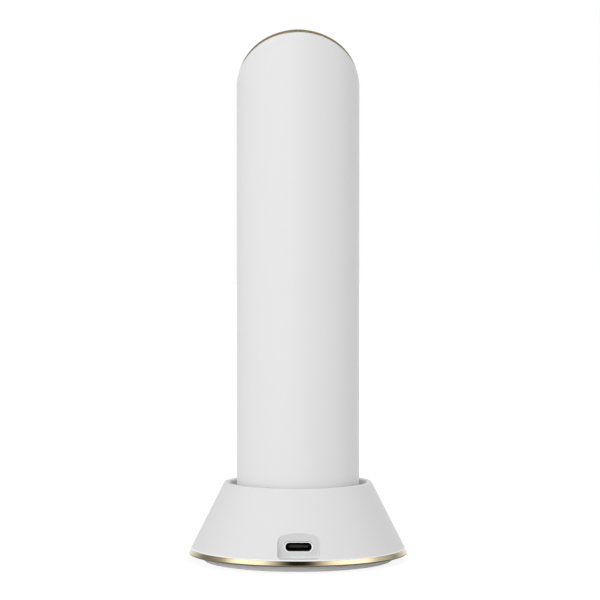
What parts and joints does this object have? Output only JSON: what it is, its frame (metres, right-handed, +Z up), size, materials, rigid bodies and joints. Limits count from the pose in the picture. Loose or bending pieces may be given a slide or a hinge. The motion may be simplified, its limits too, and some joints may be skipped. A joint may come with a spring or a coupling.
{
  "type": "facial lifting device",
  "caption": "Hand-held facial lifting device with a slanted oval treatment head, standing in a conical charging dock with a USB-C inlet.",
  "frame": {"origin": "on the table under the middle of the dock", "axes": "+Z up along the handset, -Y towards the USB inlet, +Y towards the treatment face and the buttons"},
  "size_m": [0.0716, 0.0716, 0.1714],
  "materials": {
    "white_satin": "satin moulded ABS, soft white coat",
    "panel_gloss": "gloss white",
    "grey_plastic": "moulded, light grey",
    "frame_plastic": "moulded, natural",
    "black_plastic": "moulded, black",
    "silicone": "matt silicone",
    "gold": "polished champagne gold plate",
    "gold_plate": "gold plated contact",
    "steel": "plain steel",
    "chrome": "polished",
    "aluminium": "drawn can",
    "tungsten": "sintered weight",
    "ferrite": "ferrite core with wound bobbin",
    "circuit_board": "green solder mask",
    "battery_wrap": "shrink sleeve",
    "wire": "insulated wire",
    "flex": "polyimide flat cable",
    "clear": "clear light pipe",
    "lens": "tinted lens"
  },
  "bodies": {
    "dock": {"dock_base_plate": "grey_plastic", "dock_board": "circuit_board", "dock_board_chips": "black_plastic", "dock_board_screws": "steel", "dock_foot_pad": "silicone", "dock_shell": "white_satin", "dock_shell_screws": "steel", "dock_socket": "grey_plastic", "dock_socket_screws": "steel", "dock_trim_ring": "gold", "dock_weight": "steel", "pogo_housing": "black_plastic", "pogo_spring_left": "steel", "pogo_spring_right": "steel", "usb_contacts": "gold_plate", "usb_shell": "steel", "usb_tongue": "black_plastic"},
    "handset": {"battery_board": "circuit_board", "battery_cell": "battery_wrap", "battery_leads": "wire", "bottom_cap": "white_satin", "bottom_cap_screws": "steel", "bottom_seal": "silicone", "button_switches": "black_plastic", "capacitors": "aluminium", "charge_contacts": "gold_plate", "charge_leads": "wire", "control_panel": "panel_gloss", "handset_sleeve": "white_satin", "head_bezel": "gold", "head_board": "circuit_board", "head_carrier": "frame_plastic", "head_electrodes": "chrome", "head_flex": "flex", "head_gasket": "silicone", "head_leds": "clear", "head_lens": "lens", "indicator_leds": "clear", "inner_frame": "frame_plastic", "light_pipes": "clear", "main_board": "circuit_board", "main_board_chips": "black_plastic", "main_board_connectors": "frame_plastic", "main_board_screws": "steel", "motor_can": "steel", "temperature_sensor": "chrome", "transformer": "ferrite", "treatment_plate": "panel_gloss"},
    "pogo_left": {"pogo_pin_left": "gold_plate"},
    "pogo_right": {"pogo_pin_right": "gold_plate"},
    "power_control": {"power_button": "white_satin", "power_switch_plunger": "black_plastic"},
    "mode_control": {"mode_button": "white_satin", "mode_switch_plunger": "black_plastic"},
    "motor_rotor": {"motor_weight": "tungsten"}
  },
  "joints": [
    {"name": "handset_lift", "type": "slide", "parent": "dock", "child": "handset", "axis": [0, 0, 1], "range_m": [0, 0.06]},
    {"name": "power_press", "type": "slide", "parent": "handset", "child": "power_control", "axis": [0, -1, 0], "range_m": [0, 0.0004], "stiffness_N_per_m": 600, "springref_m": -0.0015},
    {"name": "mode_press", "type": "slide", "parent": "handset", "child": "mode_control", "axis": [0, -1, 0], "range_m": [0, 0.0004], "stiffness_N_per_m": 600, "springref_m": -0.0015},
    {"name": "left_contact_press", "type": "slide", "parent": "dock", "child": "pogo_left", "axis": [0, 0, -1], "range_m": [0, 0.001], "stiffness_N_per_m": 80, "springref_m": -0.002, "deforming": ["pogo_spring_left"]},
    {"name": "right_contact_press", "type": "slide", "parent": "dock", "child": "pogo_right", "axis": [0, 0, -1], "range_m": [0, 0.001], "stiffness_N_per_m": 80, "springref_m": -0.002, "deforming": ["pogo_spring_right"]},
    {"name": "motor_spin", "type": "hinge", "parent": "handset", "child": "motor_rotor", "pos_m": [0, -0.00685, 0.0925], "axis": [0, 0, 1], "continuous": true}
  ]
}
